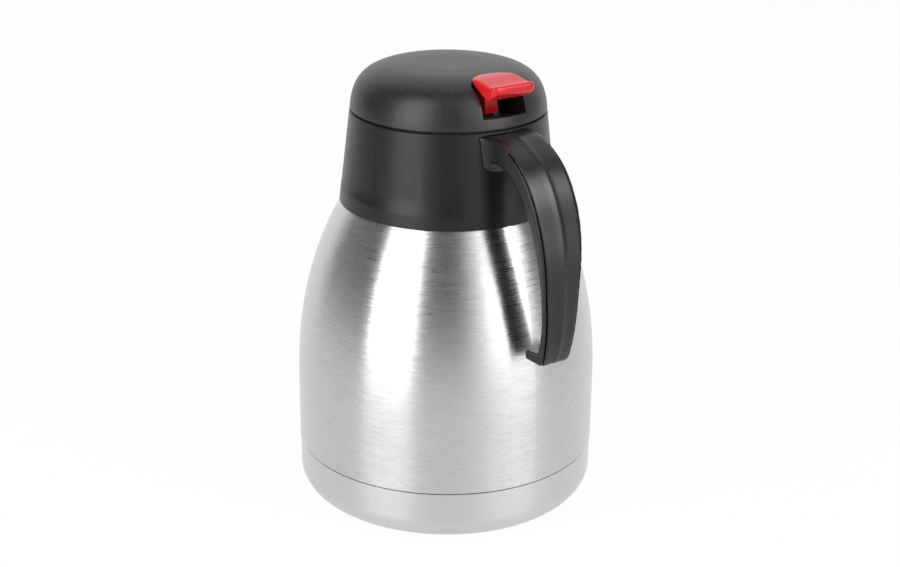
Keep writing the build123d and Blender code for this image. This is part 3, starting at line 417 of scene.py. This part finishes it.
# Pieces whose edges are all soft: grid of their even skin, in mm, and how many times it is smoothed.
SOFT = {
    "lever": (0.25, 14),
    "handle_body": (0.30, 34),
    "handle_cover": (0.30, 18),
}
HEAD_Z = 204.8            # the lever's head begins here, in mm
HEAD_TIMES = 130          # extra smoothing of the head
HEAD_FADE = 2.0           # the extra smoothing grows over this height
COLLAR_R = 46.5           # radius of the collar, in mm, at the height COLLAR_Z
COLLAR_Z = 189.9
COLLAR_SLOPE = 0.12       # how much the radius grows per mm down
ROOT_KEEP = 0.5           # the handle stays sharp so near the collar,
ROOT_FADE = 1.2           # and grows soft over this distance
COVER_END = 61.5          # plane in X where the cover's upper end meets the handle, in mm
COVER_END_Z = 160         # lowest height of that joint
END_REACH = 0.3           # vertices this near the plane belong to the end
OUTWARDS, UPWARDS = 0.05, 0.5    # least parts of the outside's normal at the end, along X and Z
COVER_LAP = 1.0           # how far the cover's skin runs on under the handle's there
JOINT_SHARE = 0.2         # least share of smoothing beside that joint
FAR = 9                   # any distance that is far from the joint, in mm
# Cuts beside the handle's ridge, and how far the surface sinks there, in mm.
RIDGE_SINK = {1.0: 0.075, 2.0: 0.07, 9.0: 0}
HANDLE_MIDDLE = (55, 0, 120)     # point inside the grip's opening, in mm
TOP_SLANT = 0.3           # sideways part of the normal, at most, on the strap's outside
SAME_POINT = 0.002        # vertices this near each other are one, in mm
ON_CUT = 0.005            # a vertex this near a cut lies on it, in mm
FLAT_ANGLE = 0.2          # faces within this angle are one flat face, in degrees
BEVEL_STEPS = 3
SMOOTH_STEP = 0.5         # how far one round of smoothing moves a vertex towards its neighbours' middle


def piece_from(name, mesh):
    """New piece that stands for a CAD node and moves with its body."""
    piece = bpy.data.objects.new(name + "_moulded", mesh)
    bpy.context.scene.collection.objects.link(piece)
    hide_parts(name)
    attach(piece, body_of[name])
    return piece


def shape_ridge(bm):
    """Cut the strap beside its ridge, and sink the surface there so that the ridge is a fine crease."""
    middle = Vector(HANDLE_MIDDLE) * MM
    for away, sink in RIDGE_SINK.items():
        for side in (1, -1):
            everything = list(bm.verts) + list(bm.edges) + list(bm.faces)
            cut = (0, side * away * MM, 0)
            bmesh.ops.bisect_plane(bm, geom=everything, plane_co=cut, plane_no=(0, side, 0))
        bm.normal_update()
        for vert in bm.verts:
            outside = vert.normal.dot(vert.co - middle) > 0 and abs(vert.normal.y) < TOP_SLANT
            if sink and outside and abs(abs(vert.co.y) - away * MM) < ON_CUT * MM:
                vert.co -= vert.normal * sink * MM


def lap_cover(bm):
    """Run the cover's upper end on along the strap, so that no joint shows there."""
    bm.normal_update()
    near = (COVER_END + END_REACH) * MM
    end = [v for v in bm.verts if v.co.x < near and v.co.z > COVER_END_Z * MM]
    # the strap's outside is the largest face there that looks up and a little outwards
    faces = [f for v in end for f in v.link_faces if f.normal.x > OUTWARDS and f.normal.z > UPWARDS]
    outer = max(faces, key=lambda f: f.calc_area())
    along = Vector((-outer.normal.z, 0, outer.normal.x))
    for vert in end:
        vert.co += along * COVER_LAP * MM


def clean_copy(name):
    """Copy of a CAD node's mesh as one closed skin with plain normals."""
    bm = bmesh.new()
    bm.from_mesh(nodes[name].data)
    bmesh.ops.remove_doubles(bm, verts=bm.verts, dist=SAME_POINT * MM)
    bmesh.ops.dissolve_limit(bm, angle_limit=math.radians(FLAT_ANGLE), verts=bm.verts, edges=bm.edges)
    if name.startswith("handle"):
        shape_ridge(bm)
    if name == "handle_cover":
        lap_cover(bm)
    mesh = bpy.data.meshes.new(name + "_moulded")
    bm.to_mesh(mesh)
    bm.free()
    for layer in ("custom_normal", "sharp_edge", "sharp_face"):
        if layer in mesh.attributes:
            mesh.attributes.remove(mesh.attributes[layer])
    mesh.shade_smooth()
    return mesh


def bake(piece):
    """Give the piece the mesh that its modifiers make."""
    graph = bpy.context.evaluated_depsgraph_get()
    shaped = bpy.data.meshes.new_from_object(piece.evaluated_get(graph))
    piece.modifiers.clear()
    piece.data = shaped


def rounded_copy(name, radius, least_angle):
    """Copy of a CAD node whose sharp edges are rounded."""
    mesh = clean_copy(name)
    mesh.set_sharp_from_angle(angle=math.radians(least_angle))
    piece = piece_from(name, mesh)
    bevel = piece.modifiers.new("edges", "BEVEL")
    bevel.width = radius * MM
    bevel.segments = BEVEL_STEPS
    bevel.limit_method = "ANGLE"
    bevel.angle_limit = math.radians(least_angle)
    bevel.miter_outer = "MITER_ARC"
    bevel.harden_normals = True
    bake(piece)
    return piece


def soften(piece, times, share_at):
    """Smooth a piece by a share that depends on the place, from 0 to 1."""
    group = piece.vertex_groups.new(name="soft")
    for vert in piece.data.vertices:
        share = min(max(share_at(vert.co / MM), 0), 1)
        if share:
            group.add([vert.index], share, "REPLACE")
    smooth = piece.modifiers.new("soft", "SMOOTH")
    smooth.factor = SMOOTH_STEP
    smooth.iterations = times
    smooth.vertex_group = "soft"
    bake(piece)
    piece.vertex_groups.clear()
    piece.data.shade_smooth()


def all_over(place):
    """The same smoothing everywhere."""
    return 1.0


def head_share(place):
    """The lever's head alone, not its web and pivot."""
    return (place.z - HEAD_Z) / HEAD_FADE


def handle_share(place):
    """The handle away from the collar that it lies on."""
    collar_r = COLLAR_R + (COLLAR_Z - place.z) * COLLAR_SLOPE
    from_collar = math.hypot(place.x, place.y) - collar_r
    from_joint = abs(place.x - COVER_END) if place.z > COVER_END_Z else FAR
    return min((from_collar - ROOT_KEEP) / ROOT_FADE, max(from_joint, JOINT_SHARE))


def soft_copy(name, voxel, times, share_at):
    """Copy of a CAD node with a fine even skin, whose edges are soft."""
    piece = piece_from(name, clean_copy(name))
    skin = piece.modifiers.new("skin", "REMESH")
    skin.mode = "VOXEL"
    skin.voxel_size = voxel * MM
    bake(piece)
    soften(piece, times, share_at)
    return piece


def spring_copy():
    """Copy of the valve spring, with a mesh of its own; the real spring closes up towards its fixed upper end
    as the plug rises.
    """
    piece = piece_from("valve_spring", nodes["valve_spring"].data.copy())
    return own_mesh(piece)


def node_slots():
    """The material slot that each CAD node came with."""
    return {name: obj.data.materials[0].name.split(".")[0] for name, obj in nodes.items()}


make_camera()
make_world()
make_floor()
make_wall()
for lamp_name, lamp_angle, lamp_power in LAMPS:
    make_lamp(lamp_name, lamp_angle, lamp_power)
slots = node_slots()
bodies = frame["record"]["behaviour"]["bodies"]
body_of = {name: body for body, names in bodies.items() for name in names}
finishes = make_finishes()
shown = dict(nodes)
for name, (radius, least_angle) in ROUNDED.items():
    shown[name] = rounded_copy(name, radius, least_angle)
for name, (voxel, times) in SOFT.items():
    shown[name] = soft_copy(name, voxel, times, handle_share if name == "handle_body" else all_over)
soften(shown["lever"], HEAD_TIMES, head_share)
shown["valve_spring"] = spring_copy()
# the vacuum base wears the dark steel as painted shade in the seam's gap
worn = dict(slots, vacuum_base="seam_shade_steel", handle_body="handle_plastic", handle_cover="handle_plastic")
for name, obj in list(nodes.items()) + list(shown.items()):
    obj.data.materials.clear()
    obj.data.materials.append(finishes[worn[name]])

bpy.context.scene.view_settings.view_transform = "Standard"
bpy.context.view_layer.update()
